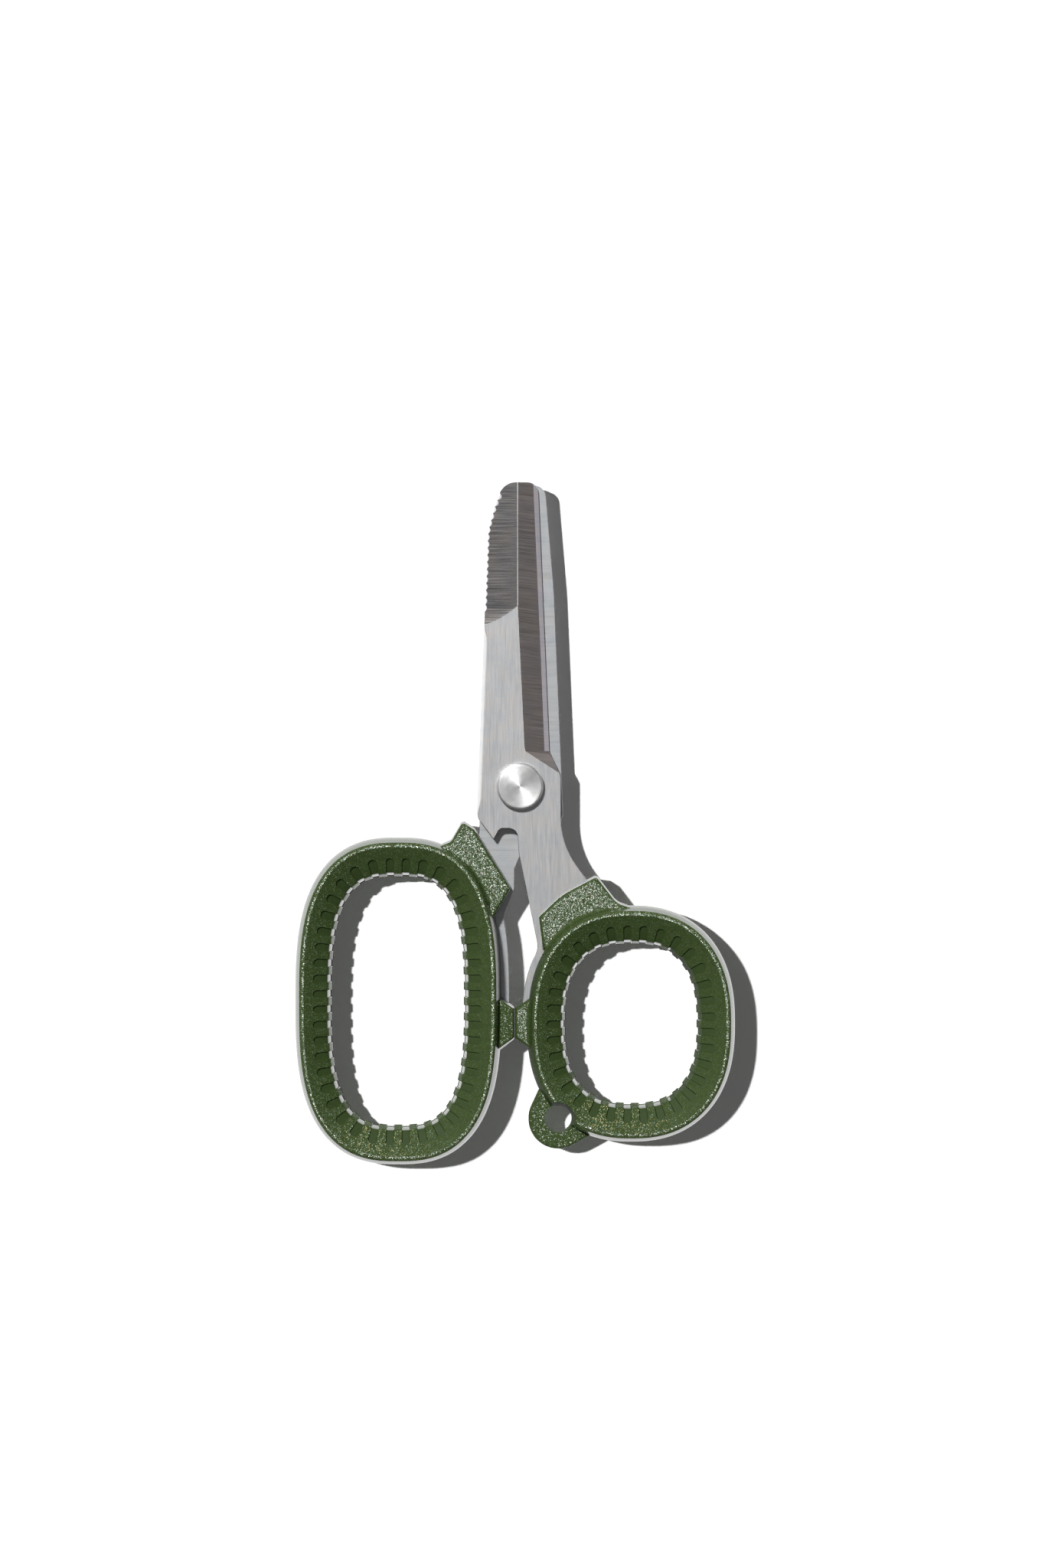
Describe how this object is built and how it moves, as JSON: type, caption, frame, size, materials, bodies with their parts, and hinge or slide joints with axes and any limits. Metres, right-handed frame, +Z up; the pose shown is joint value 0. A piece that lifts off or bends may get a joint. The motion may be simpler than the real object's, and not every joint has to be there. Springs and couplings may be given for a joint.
{
  "type": "scissors",
  "caption": "Compact craft scissors with round-tipped blades, a serrated spine, a riveted pivot, moulded grip handles and a lanyard eyelet.",
  "frame": {"origin": "centre of the closed scissors' box, on the plane that the bows lie on", "axes": "+Z up out of the bows, along the pivot; +Y towards the blade tips; +X towards the thumb bow"},
  "size_m": [0.0652, 0.101, 0.009],
  "materials": {
    "blade_steel": "satin brushed, with ground bevels",
    "rivet_steel": "spun bright face",
    "washer_steel": "spring-steel satin",
    "handle_plastic": "dark green, finely pebbled with a soft sparkle",
    "glide_polymer": "smooth"
  },
  "bodies": {
    "finger_half": {"rear_blade": "blade_steel", "finger_handle": "handle_plastic", "pivot_rivet": "rivet_steel", "rivet_cap": "rivet_steel", "tension_washer": "washer_steel", "blade_washer": "glide_polymer"},
    "thumb_half": {"front_blade": "blade_steel", "thumb_handle": "handle_plastic"}
  },
  "joints": [
    {"name": "blade_pivot", "type": "hinge", "parent": "finger_half", "child": "thumb_half", "pos_m": [0.00072, 0.00551, 0.0045], "axis": [0, 0, 1], "range_deg": [0, 70]}
  ]
}
